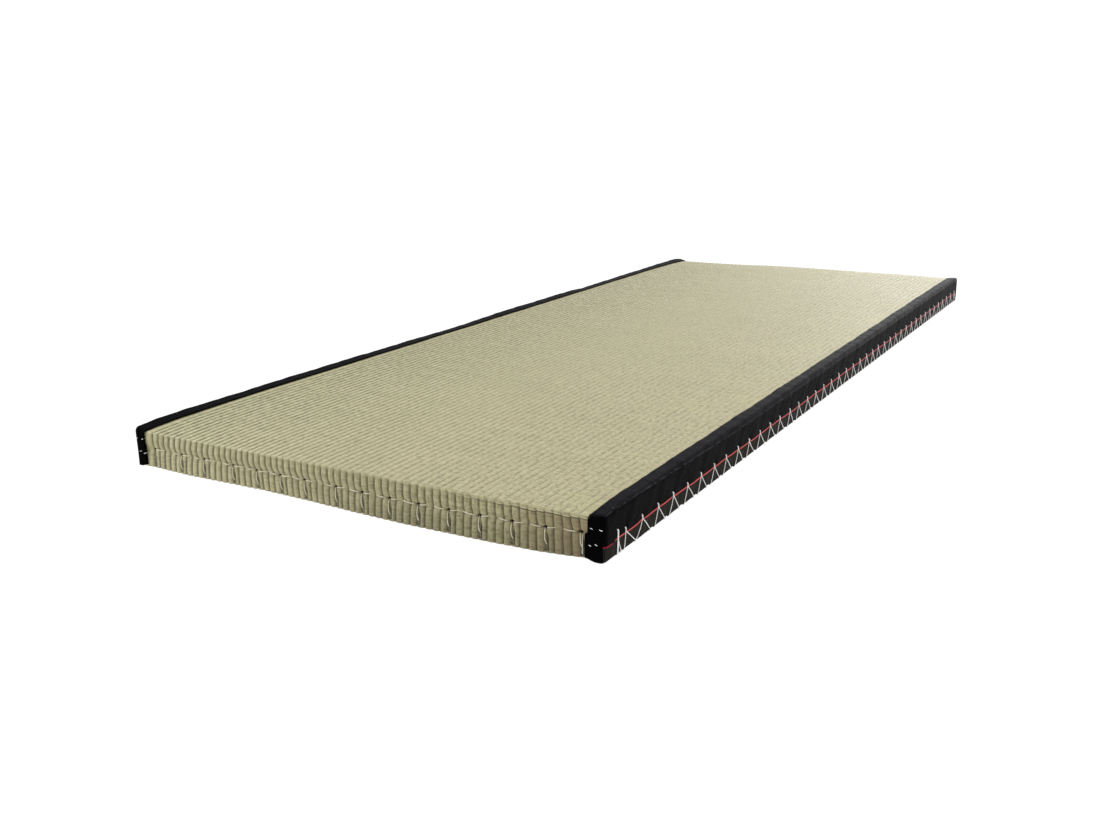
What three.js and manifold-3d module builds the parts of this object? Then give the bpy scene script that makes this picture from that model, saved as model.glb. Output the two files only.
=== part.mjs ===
// A tatami mat: a stiff flat mat in a cover of woven rush, with a black cotton border along each long side.
// Millimetres, +Z up. X runs across the mat, Y along it, and the origin is under its centre, on the floor.
import * as THREE from 'three';
import { mergeVertices } from 'three/addons/utils/BufferGeometryUtils.js';
import Module from 'manifold-3d';

// Driving dimensions of the mat
const MAT_WIDTH = 800;
const MAT_LENGTH = 2000;
const RUSH_HEIGHT = 60; // floor to the crests of the rush ribs
const GAP = 0.3; // between the rush and the cloth laid over it
const EDGE_CHAMFER = 3; // the mat's long edges, inside the borders

// The woven rush
const RIB_COUNT = 65; // ribs between the two borders
const RIB_RELIEF = 2; // crest to valley
const RIB_STEPS = [0, 0.18, 0.5, 0.82]; // places across one rib where its round top has a point
const FOLD_RADIUS = 8; // where the cover goes over the end of the mat
const FOOT_HEIGHT = 3; // the cover's turn under the mat
const FOOT_SET_BACK = 2.5;
const STRIP_START = 3.5; // from the last valley to the flat strip under a border

// The seam across each end face
const SEAM_HEIGHT = 31;
const SEAM_HALF_HEIGHT = 5; // how far above and below the seam the ribs start to be drawn in
const SEAM_DRAW = 1.3; // how far the thread draws the ribs in
const SEAM_RELIEF = 0.6; // share of a rib's relief that is left at the seam
const LOOP_DRAW = 2; // how much deeper a valley is where a loop of thread runs down it to the floor
const LOOP_GAPS = [5, 4, 5, 4, 4, 5, 4, 4, 4, 4, 4, 4, 4, 4, 4]; // ribs from one loop to the next
const FIRST_LOOP_VALLEY = 1; // counted from the left border

// The border cloth
const BAND_WIDTH = 24; // on the top of the mat
const BAND_ROLL = 3; // the rolled inner edge of the band: its width and its drop
const BAND_ROLL_DROP = 0.8;
const CLOTH = 2; // thickness of the cloth, folded double, on the top and the ends
const SIDE_CLOTH = 2.5; // thickness on the long side, where its stitches gather it
const OUTER_RADIUS = 7; // the long outer edge, top to side
const OUTER_STEPS = 3;
const END_RADIUS = 4; // the edges of the end flaps
const END_STEPS = 2;
const FLAP_STEP_HEIGHT = 36; // the end flap is wider below this height
const FLAP_STEP = 4.5;
const FLAP_LIP = 1;
const FLAP_HEM_HEIGHT = 3;
const WANDER = [ // how the band's inner edge strays from a straight line
  { swing: 0.6, every: 240 },
  { swing: 0.4, every: 97 },
];

// The zigzag stitches along the border's side
const STITCH_HEIGHT = 28.5; // their tops
const STITCH_PITCH = 46.7;
const FIRST_STITCH = 53; // from the front end of the mat
const STITCH_DRAW = 0.9; // how far a stitch draws the cloth in
const HEM_HEIGHT = 1; // lower edge of the cloth, above the floor
const HEM_SET_BACK = 1;
const HEM_SCALLOP = 2.4; // how far a stitch draws that edge up

const bodyHalfWidth = MAT_WIDTH / 2 - SIDE_CLOTH - GAP;
const bodyHalfLength = MAT_LENGTH / 2 - CLOTH - GAP;
const bandEdge = MAT_WIDTH / 2 - BAND_WIDTH;
const ribPitch = (2 * bandEdge) / RIB_COUNT;

// A closed solid whose faces point out: they are turned round if they enclose a negative volume.
function solidFrom(points, faces) {
  const cross = new THREE.Vector3();
  const volume = faces.reduce((sum, [a, b, c]) => {
    cross.crossVectors(points[b], points[c]);
    return sum + points[a].dot(cross);
  }, 0);
  const outward = volume > 0 ? faces : faces.map(([a, b, c]) => [a, c, b]);
  const geometry = new THREE.BufferGeometry();
  geometry.setAttribute('position', new THREE.Float32BufferAttribute(points.flatMap((p) => p.toArray()), 3));
  geometry.setIndex(outward.flat());
  return geometry;
}

// The faces that close a flat loop, wound the way the loop runs.
function capFaces(loop, flatten) {
  const flat = loop.map(flatten);
  const order = flat.map((_, i) => i);
  if (THREE.ShapeUtils.area(flat) < 0) order.reverse();
  const cap = THREE.ShapeUtils.triangulateShape(order.map((i) => flat[i]), []);
  const faces = cap.map((face) => face.map((i) => order[i]));
  return order[0] === 0 ? faces : faces.map(([a, b, c]) => [a, c, b]);
}

// A closed solid through a row of loops that have the same number of points, with flat ends.
// flatten drops the axis that the loops are stacked along.
function loft(loops, flatten) {
  const size = loops[0].length;
  const last = (loops.length - 1) * size;
  const faces = [];
  for (let start = 0; start < last; start += size) {
    for (let i = 0; i < size; i += 1) {
      const a = start + i;
      const b = start + ((i + 1) % size);
      faces.push([a, b, b + size], [a, b + size, a + size]);
    }
  }
  faces.push(...capFaces(loops[0], flatten).map(([a, b, c]) => [a, c, b]));
  faces.push(...capFaces(loops.at(-1), flatten).map((face) => face.map((i) => i + last)));
  return solidFrom(loops.flat(), faces);
}

const alongX = (p) => new THREE.Vector2(p.y, p.z);
const alongY = (p) => new THREE.Vector2(p.x, p.z);

// Rows of an end face from the floor up and over the fold: how far the row stands back from the face, how far the
// seam draws it in, the share of the rib relief it has, and the turn of the surface from upright to level.
const foldStart = RUSH_HEIGHT - FOLD_RADIUS;
const foldRise = FOLD_RADIUS * Math.SQRT1_2;
const END_ROWS = [
  { height: 0, setBack: FOOT_SET_BACK, drawnIn: 0, relief: 1, turn: 0 },
  { height: FOOT_HEIGHT, setBack: 0, drawnIn: 0, relief: 1, turn: 0 },
  { height: SEAM_HEIGHT - SEAM_HALF_HEIGHT, setBack: 0, drawnIn: 0, relief: 1, turn: 0 },
  { height: SEAM_HEIGHT, setBack: 0, drawnIn: SEAM_DRAW, relief: SEAM_RELIEF, turn: 0 },
  { height: SEAM_HEIGHT + SEAM_HALF_HEIGHT, setBack: 0, drawnIn: 0, relief: 1, turn: 0 },
  { height: foldStart, setBack: 0, drawnIn: 0, relief: 1, turn: 0 },
  { height: foldStart + foldRise, setBack: FOLD_RADIUS - foldRise, drawnIn: 0, relief: 1, turn: Math.PI / 4 },
  { height: RUSH_HEIGHT, setBack: FOLD_RADIUS, drawnIn: 0, relief: 1, turn: Math.PI / 2 },
];

// The valleys that a loop of thread runs down.
function loopValleys() {
  const valleys = [FIRST_LOOP_VALLEY];
  for (const gap of LOOP_GAPS) valleys.push(valleys.at(-1) + gap);
  return new Set(valleys);
}

// Places across the ribs, with how deep the surface lies there under the rib crests.
function ribColumns() {
  const looped = loopValleys();
  const columns = [];
  for (let rib = 0; rib < RIB_COUNT; rib += 1) {
    for (const step of RIB_STEPS) {
      const fromCrest = 2 * step - 1;
      columns.push({
        x: -bandEdge + (rib + step) * ribPitch,
        depth: RIB_RELIEF * (1 - Math.sqrt(1 - fromCrest * fromCrest)),
        ribbed: true,
        looped: step === 0 && looped.has(rib),
      });
    }
  }
  columns.push({ x: bandEdge, depth: RIB_RELIEF, ribbed: true, looped: false });
  return columns;
}

// The flat strip under a border, from the last rib out to the mat's side with its chamfer.
function stripColumns(side) {
  return [
    { x: side * (bandEdge + STRIP_START), depth: 0 },
    { x: side * (bodyHalfWidth - EDGE_CHAMFER), depth: 0 },
    { x: side * bodyHalfWidth, depth: EDGE_CHAMFER },
  ].map((column) => ({ ...column, ribbed: false, looped: false }));
}

// A point of the mat's end at one row and column. end is -1 at the front and 1 at the rear.
function endPoint(row, column, end) {
  let inward = column.depth;
  if (column.ribbed) inward = column.depth * row.relief + row.drawnIn;
  if (column.looped && row.height <= SEAM_HEIGHT) inward += LOOP_DRAW;
  const back = row.setBack + inward * Math.cos(row.turn);
  const drop = inward * Math.sin(row.turn);
  return new THREE.Vector3(column.x, end * (bodyHalfLength - back), row.height - drop);
}

// The mat's outline along its length at one column: up the front end, along the top and down the rear end.
function matLoop(column) {
  const front = END_ROWS.map((row) => endPoint(row, column, -1));
  const rear = END_ROWS.map((row) => endPoint(row, column, 1));
  return [...front, ...rear.reverse()];
}

function rushMat() {
  const columns = [...stripColumns(-1).reverse(), ...ribColumns(), ...stripColumns(1)];
  return loft(columns.map(matLoop), alongX);
}

// Places along the border: the rounded front end, each stitch and half way to the next, and the rear end.
function borderPlaces() {
  const half = MAT_LENGTH / 2;
  const rounding = [];
  for (let i = 0; i <= END_STEPS; i += 1) {
    const angle = (i / END_STEPS) * (Math.PI / 2);
    rounding.push({ fromEnd: END_RADIUS * (1 - Math.cos(angle)), inset: END_RADIUS * (1 - Math.sin(angle)) });
  }
  const front = rounding.map(({ fromEnd, inset }) => ({ y: fromEnd - half, inset, drawn: 0 }));
  const rear = rounding.map(({ fromEnd, inset }) => ({ y: half - fromEnd, inset, drawn: 0 }));
  const stitched = [];
  const stitchCount = Math.round((MAT_LENGTH - 2 * FIRST_STITCH) / STITCH_PITCH);
  for (let i = 0; i <= 2 * stitchCount; i += 1) {
    const y = FIRST_STITCH - half + (i * STITCH_PITCH) / 2;
    stitched.push({ y, inset: 0, drawn: i % 2 === 0 ? 1 : 0 });
  }
  return [...front, ...stitched, ...rear.reverse()];
}

const wander = (y) => WANDER.reduce((sum, { swing, every }) => sum + swing * Math.sin((2 * Math.PI * y) / every), 0);

// Section of the border's outer form: end flap, top band, rounded outer edge, side and hem. drawn is 1 at a
// stitch and 0 half way between two, and inset is the rounding at the mat's ends.
function borderLoop({ y, inset, drawn }, side) {
  const outer = MAT_WIDTH / 2 - inset;
  const top = RUSH_HEIGHT + GAP + CLOTH - inset;
  const edge = bandEdge + wander(y);
  const section = [
    [bandEdge - FLAP_STEP, FLAP_HEM_HEIGHT + inset],
    [bandEdge - FLAP_STEP, FLAP_STEP_HEIGHT],
    [bandEdge - FLAP_LIP, FLAP_STEP_HEIGHT + FLAP_LIP],
    [edge, top - BAND_ROLL_DROP],
    [edge + BAND_ROLL, top],
  ];
  for (let i = 0; i <= OUTER_STEPS; i += 1) {
    const angle = (i / OUTER_STEPS) * (Math.PI / 2);
    section.push([
      outer - OUTER_RADIUS * (1 - Math.sin(angle)),
      top - OUTER_RADIUS * (1 - Math.cos(angle)),
    ]);
  }
  section.push(
    [outer - drawn * STITCH_DRAW, STITCH_HEIGHT],
    [outer, STITCH_HEIGHT / 2],
    [outer - HEM_SET_BACK, HEM_HEIGHT + drawn * HEM_SCALLOP + inset],
  );
  return section.map(([x, z]) => new THREE.Vector3(side * x, y, z));
}

// The mat's own edge with its clearance, which the border cloth lies round.
function matEdge(side) {
  const inside = bandEdge - 2 * FLAP_STEP;
  const outside = bodyHalfWidth + GAP;
  const loopAt = (x, inset) => {
    const reach = bodyHalfLength + GAP - inset;
    const height = RUSH_HEIGHT + GAP - inset;
    return [
      [-reach, -RUSH_HEIGHT],
      [-reach, height - EDGE_CHAMFER],
      [EDGE_CHAMFER - reach, height],
      [reach - EDGE_CHAMFER, height],
      [reach, height - EDGE_CHAMFER],
      [reach, -RUSH_HEIGHT],
    ].map(([y, z]) => new THREE.Vector3(side * x, y, z));
  };
  const loops = [loopAt(inside, 0), loopAt(outside - EDGE_CHAMFER, 0), loopAt(outside, EDGE_CHAMFER)];
  return loft(loops, alongX);
}

const wasm = await Module();
wasm.setup();

function toManifold(geometry) {
  const merged = mergeVertices(geometry);
  return new wasm.Manifold(new wasm.Mesh({
    numProp: 3,
    vertProperties: new Float32Array(merged.attributes.position.array),
    triVerts: new Uint32Array(merged.index.array),
  }));
}

function toGeometry(solid) {
  const mesh = solid.getMesh();
  const geometry = new THREE.BufferGeometry();
  geometry.setAttribute('position', new THREE.BufferAttribute(mesh.vertProperties, 3));
  geometry.setIndex(new THREE.BufferAttribute(mesh.triVerts, 1));
  return geometry;
}

// The cloth is what is left of the border's outer form once the mat's edge is taken out of it.
function borderCloth(side) {
  const form = loft(borderPlaces().map((place) => borderLoop(place, side)), alongY);
  return toGeometry(toManifold(form).subtract(toManifold(matEdge(side))));
}

function piece(name, geometry, material) {
  const mesh = new THREE.Mesh(geometry, material);
  mesh.name = name;
  return mesh;
}

const rush = new THREE.MeshStandardMaterial({ color: 0xb9b38c, roughness: 0.75, metalness: 0 });
const blackCotton = new THREE.MeshStandardMaterial({ color: 0x1f1e22, roughness: 0.9, metalness: 0 });

const tatami = new THREE.Group();
tatami.add(piece('rush_mat', rushMat(), rush));
tatami.add(piece('border_cloth_right', borderCloth(1), blackCotton));
tatami.add(piece('border_cloth_left', borderCloth(-1), blackCotton));

export default tatami;
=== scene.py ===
# A tatami mat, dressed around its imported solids: woven rush, black cotton borders and hand sewing.
# Metres, +Z up. X runs across the mat, Y along it, and the floor is at Z 0.
import math
from functools import partialmethod

import bpy
import numpy as np
from mathutils import Euler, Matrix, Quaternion, Vector


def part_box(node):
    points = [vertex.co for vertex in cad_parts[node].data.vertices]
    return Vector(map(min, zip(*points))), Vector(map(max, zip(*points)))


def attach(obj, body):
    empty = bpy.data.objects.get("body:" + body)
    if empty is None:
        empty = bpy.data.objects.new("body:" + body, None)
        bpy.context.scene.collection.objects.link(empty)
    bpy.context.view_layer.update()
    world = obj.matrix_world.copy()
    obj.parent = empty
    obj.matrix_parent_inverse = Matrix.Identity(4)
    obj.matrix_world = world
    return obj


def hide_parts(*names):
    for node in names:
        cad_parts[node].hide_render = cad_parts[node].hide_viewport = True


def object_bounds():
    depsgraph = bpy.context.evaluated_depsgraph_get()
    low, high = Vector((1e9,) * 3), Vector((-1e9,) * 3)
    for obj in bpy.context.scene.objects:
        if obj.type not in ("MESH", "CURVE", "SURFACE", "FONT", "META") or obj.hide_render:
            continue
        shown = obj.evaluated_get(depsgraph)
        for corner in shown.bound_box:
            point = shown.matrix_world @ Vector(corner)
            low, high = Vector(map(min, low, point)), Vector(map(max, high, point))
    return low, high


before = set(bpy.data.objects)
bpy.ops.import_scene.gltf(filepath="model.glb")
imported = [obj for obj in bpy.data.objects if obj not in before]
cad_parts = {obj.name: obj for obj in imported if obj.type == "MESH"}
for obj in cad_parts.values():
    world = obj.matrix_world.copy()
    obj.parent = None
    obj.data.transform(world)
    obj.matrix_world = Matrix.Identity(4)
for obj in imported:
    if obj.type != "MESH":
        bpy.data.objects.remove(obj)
cad_low, cad_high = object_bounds()
MM = 0.001


# Camera: the photograph's view, from beyond the right front corner and a little above the mat.
# Lens, place and turn put the mat's corners where they lie in the 1100 x 824 picture.
PICTURE_WIDTH, PICTURE_HEIGHT = 1100, 824
FOCAL_PIXELS = 1149.2
OPTICAL_CENTRE = (568.1, 405.7)
CAMERA_PLACE = (0.9854, -2.1219, 0.5438)
CAMERA_AZIMUTH, CAMERA_ELEVATION, CAMERA_ROLL = (math.radians(turn) for turn in (29.50, 15.37, -0.37))

camera_data = bpy.data.cameras.new("camera")
camera_data.sensor_width = 36
camera_data.lens = camera_data.sensor_width * FOCAL_PIXELS / PICTURE_WIDTH
camera_data.shift_x = 0.5 - OPTICAL_CENTRE[0] / PICTURE_WIDTH
camera_data.shift_y = (OPTICAL_CENTRE[1] - PICTURE_HEIGHT / 2) / PICTURE_WIDTH
camera = bpy.data.objects.new("camera", camera_data)
camera.location = CAMERA_PLACE
camera.rotation_mode = "QUATERNION"
level_turn = Euler((math.pi / 2 - CAMERA_ELEVATION, 0, CAMERA_AZIMUTH)).to_quaternion()
camera.rotation_quaternion = level_turn @ Quaternion((0, 0, 1), CAMERA_ROLL)
bpy.context.scene.collection.objects.link(camera)
bpy.context.scene.camera = camera


# Rush mat: a stiff slab in one cover of rush, woven on cords so that the stems stand up in lengthwise ribs.
# The cover goes over a soft fold at each end and down to the floor, and a hand-sewn seam draws it in there.
mat_half_width, mat_half_length, mat_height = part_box("rush_mat")[1]
BAND_WIDTH = 24 * MM  # what a border covers of the top
RIB_COUNT = 65
RIB_PLACES = (0, 0.09, 0.27, 0.5, 0.73, 0.91)  # points across one rib, close together at its valley
TOP_RELIEF_LEFT, TOP_RELIEF_RIGHT, END_RELIEF = 2.4 * MM, 0.6 * MM, 3.3 * MM
FOLD_RADIUS, FOOT_RADIUS, EDGE_CHAMFER = 3.5 * MM, 1 * MM, 3 * MM
# The stuffed ends aren't straight. At places across the mat, in mm: the seam's height, how far the fold, the
# foot and the part over the seam stand out, how far the top comes down to the fold, and that slope's reach.
END_PLACES = (-376, -290, -220, -140, -60, 30, 110, 240, 310, 345, 376)
SEAM_HEIGHTS = (27.5, 28, 28, 28, 29.5, 29.5, 29.2, 31, 32, 32.8, 33.5)
FOLD_OUT = (0, 0.5, 1.5, 5, 7, 7, 7, 7, 6, 4.5, 3)
FOOT_OUT = (0, 4.5, 2.2, 0.5, 3, 8, 11, 9.5, 6, 1, -5)
BULGES = (1.5, 2.6, 2.8, 2.8, 2.4, 2, 1.5, 1.2, 1.2, 1, 0.8)
TOP_SAG = (5.6, 5.6, 5, 3, 1.6, 1.6, 1.6, 1.8, 2, 2.3, 2.6)
SAG_REACH = (80, 80, 75, 50, 30, 30, 30, 30, 30, 30, 30)
# The seam draws the cover in, most close by. Its loops leave holes, and slits that open below them.
SEAM_DRAW, SEAM_REACH, SEAM_SLOPE = 1.3 * MM, 4.2 * MM, 12 * MM
LOOP_GAPS = (5, 4, 5, 4, 4, 4, 5, 4, 4, 4, 4, 4, 4, 4, 4)  # ribs from one loop of thread to the next
HOLE_DEPTH, HOLE_WIDTH, HOLE_HEIGHT, HOLE_LEFT, HOLE_UP = (size * MM for size in (5, 4.2, 1.9, 0.2, 0.4))
SLIT_DEPTH, SLIT_WIDTH, SLIT_WIDER, SLIT_RIGHT = 2.6 * MM, 1.1 * MM, 0.9 * MM, 3.1 * MM
SLIT_START, SLIT_FULL = -2 * MM, -12 * MM  # heights over the seam
# The ribs wander, part below each hole, gather at it, step aside over the seam and lift at the foot.
RIB_WANDER = ((0.45 * MM, 0.9), (0.3 * MM, 0.31))  # swing and length of each wave
RIB_SNAKING = ((0.25 * MM, 0.43), (0.2 * MM, 0.17))
SNAKING_WIDTH = 70 * MM
RIB_DRIFT, DRIFT_PLACE, DRIFT_REACH = 4.5 * MM, 70 * MM, 170 * MM  # to the left of even spacing
PARTING, PARTING_EDGE, PARTING_REACH = 1.1 * MM, 1.2 * MM, 5 * MM
GATHER, GATHER_EDGE, GATHER_REACH, GATHER_ABOVE, GATHER_BELOW = (size * MM for size in (1.3, 6, 15, 10, 3))
STEP_ASIDE, STEP_EDGE, STEP_REACH = 0.7 * MM, 3 * MM, 16 * MM
FOOT_LIFT, LIFT_LOSS, LIFT_RIGHT, LIFT_REACH, LIFT_TOP = (size * MM for size in (2.2, 0.5, 4, 9, 14))
# Rows of points: round the foot, below and over the seam, round the fold, on the slope, along the top, below.
FOOT_STEPS, FACE_STEPS, FOLD_STEPS, SLOPE_STEPS, TOP_ROWS, FLOOR_ROWS = 3, 10, 7, 4, 164, 4
CLOSER_BELOW, CLOSER_OVER = 1.6, 1.4  # how rows close up toward the seam
NEAR_END = 22 * MM  # from here on rows lie evenly along the top
FLOOR_MARGIN = 8 * MM  # how far the underside stays back from the mat's sides
HAIR = 0.1 * MM  # less than any step between two points
rib_half = cad_high.x - BAND_WIDTH
rib_pitch = 2 * rib_half / RIB_COUNT
loop_places = -rib_half + rib_pitch * (1 + np.cumsum((0,) + LOOP_GAPS))


def ramp(value, start, end):
    """0 up to start, 1 from end on, and an even rise between them."""
    return np.clip((value - start) / (end - start), 0, 1)


def bump(distance, reach):
    """1 at no distance, falling smoothly to almost 0 at twice its reach."""
    return np.exp(-((distance / reach) ** 2))


def waves(places, sizes, random):
    """A sum of sine waves with random starts, from pairs of swing and wave length."""
    return sum(swing * np.sin(2 * math.pi * (places / length + random.random())) for swing, length in sizes)


def lengths_along(line):
    """How far along a line each of its points lies."""
    return np.concatenate([[0], np.cumsum(np.linalg.norm(np.diff(line, axis=0), axis=1))])


def on_ribs(x):
    """Whether a place across the mat lies on its ribs, and not under a border."""
    return np.abs(x) < rib_half + HAIR


def across_end(x, sizes):
    """One of the sizes in mm that vary across the ends of the mat."""
    return np.interp(x, np.array(END_PLACES) * MM, np.array(sizes) * MM)


def sag(x, from_end):
    """How far the top lies below its full height, at a place across the mat and a distance from its end."""
    past_fold = np.maximum(from_end - FOLD_RADIUS, 0)
    return across_end(x, TOP_SAG) * np.exp(-past_fold / across_end(x, SAG_REACH))


def crease_height(x):
    """Where an end goes over into its fold."""
    return mat_height - sag(x, 0) - FOLD_RADIUS


def stand_out(x, z):
    """How far an end stands out at a place across it and a height."""
    foot, fold, seam = (across_end(x, sizes) for sizes in (FOOT_OUT, FOLD_OUT, SEAM_HEIGHTS))
    crease = crease_height(x)
    swell = across_end(x, BULGES) * np.sin(math.pi * ramp(z, seam, crease))
    return (foot + (fold - foot) * ramp(z, 0, crease) + swell) * on_ribs(x)


def drawn_in(over_seam):
    """How far the seam draws the cover in, at a height over it."""
    return SEAM_DRAW * (bump(over_seam, SEAM_REACH) + bump(over_seam, SEAM_SLOPE))


def drift(x):
    """How far a rib lies to the right of even spacing."""
    return -RIB_DRIFT * bump(x - DRIFT_PLACE, DRIFT_REACH)


def end_rows(x):
    """Rows of an end from the floor to the top: set back from the end, height, turn of the surface."""
    crease, seam = crease_height(x), across_end(x, SEAM_HEIGHTS)
    rows = []
    for turn in np.linspace(-math.pi / 2, 0, FOOT_STEPS + 1)[:-1]:
        rows.append((FOOT_RADIUS * (1 - math.cos(turn)), FOOT_RADIUS * (1 + math.sin(turn)), turn))
    for step in np.linspace(1, 0, FACE_STEPS + 1)[:-1]:
        rows.append((0, seam - (seam - FOOT_RADIUS) * step ** CLOSER_BELOW, 0))
    for step in np.linspace(0, 1, FACE_STEPS + 1)[:-1]:
        rows.append((0, seam + (crease - seam) * step ** CLOSER_OVER, 0))
    for turn in np.linspace(0, math.pi / 2, FOLD_STEPS + 1):
        rows.append((FOLD_RADIUS * (1 - math.cos(turn)), crease + FOLD_RADIUS * math.sin(turn), turn))
    for back in np.linspace(FOLD_RADIUS, NEAR_END, SLOPE_STEPS + 1)[1:]:
        rows.append((back, mat_height - sag(x, back), math.pi / 2))
    return np.array([np.broadcast_arrays(*row, x)[:3] for row in rows]).swapaxes(0, 1)


def cover_grid():
    """The smooth cover from its front foot to its rear one: places across it and on its path, each point's
    length, height and turn of the surface, and where on the path the ends have their crease."""
    on_rib = np.add.outer(np.arange(RIB_COUNT), RIB_PLACES).ravel()
    rib_x = rib_pitch * np.append(on_rib, RIB_COUNT) - rib_half
    strip = np.array([rib_half + 3.5 * MM, mat_half_width - EDGE_CHAMFER, mat_half_width])
    x = np.concatenate([-strip[::-1], rib_x, strip])
    back, up, lean = end_rows(x)
    level = np.linspace(-1, 1, TOP_ROWS + 1)[1:-1, None] * (mat_half_length - NEAR_END) + 0 * x
    length = np.concatenate([back - mat_half_length, level, (mat_half_length - back)[::-1]])
    height = np.concatenate([up, mat_height - sag(x, mat_half_length - np.abs(level)), up[::-1]])
    turn = np.concatenate([lean, np.full_like(level, math.pi / 2), math.pi - lean[::-1]])
    middle = len(x) // 2
    path = lengths_along(np.stack([length[:, middle], height[:, middle]], -1))
    path -= path[-1] / 2
    crease = abs(path[np.argmax(lean[:, middle] > 0) - 1])
    return x, path, length, height, turn, crease


def rush_surface():
    """The cover before its ribs are raised: its points, and what is stored on them by name."""
    random = np.random.default_rng(11)
    x, path, length, height, turn, crease = cover_grid()
    across, along = np.broadcast_arrays(x, path[:, None])
    ribbed, end_face = on_ribs(x), np.cos(turn) ** 2
    from_loop = across[..., None] - loop_places
    nearest = np.take_along_axis(from_loop, np.abs(from_loop).argmin(-1)[..., None], -1)[..., 0]
    over_seam = height - across_end(x, SEAM_HEIGHTS)
    past_crease = crease - np.abs(along)

    below = ramp(over_seam, SLIT_START, SLIT_FULL) * end_face
    slit = bump(nearest - SLIT_RIGHT, SLIT_WIDTH + SLIT_WIDER * below) * below
    hole = bump(nearest + HOLE_LEFT, HOLE_WIDTH) * bump(over_seam - HOLE_UP, HOLE_HEIGHT) * end_face
    depth = ribbed * (drawn_in(over_seam) * end_face + SLIT_DEPTH * slit + HOLE_DEPTH * hole)
    depth = depth + np.where(np.abs(x) > mat_half_width - HAIR, EDGE_CHAMFER, 0)

    face = end_face * ramp(past_crease, 2 * MM, -2 * MM)
    furrow = (np.abs(across) < rib_half - 0.4 * rib_pitch) * (1 - 0.45 * bump(past_crease - 4 * MM, 4 * MM))
    top_relief = np.interp(across, (-rib_half, rib_half), (TOP_RELIEF_LEFT, TOP_RELIEF_RIGHT))
    flattened = 1 - 0.45 * bump(over_seam, SEAM_REACH) * end_face
    relief = furrow * (top_relief + (END_RELIEF - top_relief) * face) * flattened

    wander = waves(along, RIB_WANDER, random)
    wander = wander + np.sin(across / SNAKING_WIDTH) * waves(along, RIB_SNAKING, random)
    parted = PARTING * np.tanh(nearest / PARTING_EDGE) * bump(nearest, PARTING_REACH) * below
    gathered = GATHER * np.tanh(nearest / GATHER_EDGE) * bump(nearest, GATHER_REACH) * end_face
    gathered = gathered * bump(over_seam, np.where(over_seam > 0, GATHER_ABOVE, GATHER_BELOW))
    stepped = STEP_ASIDE * np.tanh(over_seam / STEP_EDGE) * bump(over_seam, STEP_REACH) * end_face
    aside = (wander + drift(across)) * (1 - (across / rib_half) ** 4) + parted - gathered + stepped
    lift = np.maximum(FOOT_LIFT * bump(nearest - LIFT_RIGHT, LIFT_REACH) - LIFT_LOSS, 0)
    lifted = height + ribbed * end_face * lift * ramp(height, LIFT_TOP, 0)

    inward = np.stack([np.zeros_like(turn), np.cos(turn), -np.sin(turn)], -1)
    stretched = length * (1 + stand_out(x, height) / mat_half_length)
    points = np.stack([across + ribbed * aside, stretched, lifted], -1) + inward * depth[..., None]
    points[..., 2] = np.maximum(points[..., 2], 0)
    return points, {"across": across, "path": along, "relief": relief, "inward": inward, "hole": hole,
                    "slit": slit, "face": face, "furrow": furrow, "past_crease": past_crease}


def underside(foot_row):
    """Rows that close the mat along the floor, from its rear to its front."""
    line = foot_row.copy()
    line[:, 0] *= (mat_half_width - FLOOR_MARGIN) / mat_half_width
    line[:, 2] = 0
    rows = np.repeat(line[None], FLOOR_ROWS + 1, axis=0)
    rows[..., 1] = np.linspace(1, -1, FLOOR_ROWS + 1)[:, None] * (mat_half_length - 2 * FLOOR_MARGIN)
    return rows


def grid_faces(rows, columns, closed=False):
    """Quads of a grid of points given row after row, also from its last row to its first if it is closed."""
    number = np.arange(rows * columns).reshape(rows, columns)
    if closed:
        number = np.concatenate([number, number[:1]])
    corners = (number[:-1, :-1], number[1:, :-1], number[1:, 1:], number[:-1, 1:])
    return np.stack([corner.ravel() for corner in corners], axis=1).tolist()


def mesh_object(name, points, faces, edges=()):
    """A smooth mesh object at the origin."""
    mesh = bpy.data.meshes.new(name)
    mesh.from_pydata(np.asarray(points).reshape(-1, 3).tolist(), list(edges), faces)
    mesh.polygons.foreach_set("use_smooth", np.ones(len(mesh.polygons), bool))
    made = bpy.data.objects.new(name, mesh)
    bpy.context.scene.collection.objects.link(made)
    return made


def store(mesh, name, values):
    """Stores a number, or a vector, for each point of a mesh."""
    values = np.asarray(values, np.float32)
    kind, field = ("FLOAT_VECTOR", "vector") if values.shape[-1] == 3 else ("FLOAT", "value")
    mesh.attributes.new(name, kind, "POINT").data.foreach_set(field, values.ravel())


def store_uv(mesh, name, by_point):
    """A UV map from a pair of numbers for each point."""
    corners = np.empty(len(mesh.loops), np.int32)
    mesh.loops.foreach_get("vertex_index", corners)
    by_corner = np.asarray(by_point, np.float32).reshape(-1, 2)[corners]
    mesh.uv_layers.new(name=name).data.foreach_set("uv", by_corner.ravel())


class Output:
    """What a node gives. Reckoning with it adds nodes to its tree."""

    def __init__(self, tree, socket):
        self.tree = tree
        self.socket = socket

    def calc(self, operation, *others):
        """The result of a Math node on this and others."""
        return output(self.tree, "ShaderNodeMath", self, *others, operation=operation)

    __add__ = partialmethod(calc, "ADD")
    __sub__ = partialmethod(calc, "SUBTRACT")
    __mul__ = partialmethod(calc, "MULTIPLY")
    __truediv__ = partialmethod(calc, "DIVIDE")
    __abs__ = partialmethod(calc, "ABSOLUTE")

    def __rsub__(self, other):
        return output(self.tree, "ShaderNodeMath", other, self, operation="SUBTRACT")

    def spread(self, low, high, to_low=0, to_high=1):
        """Its range from low to high stretched to another, and held at its ends."""
        return output(self.tree, "ShaderNodeMapRange", self, low, high, to_low, to_high)

    def toward(self, other, share):
        """A share of the way to another."""
        return (other - self) * share + self


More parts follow.
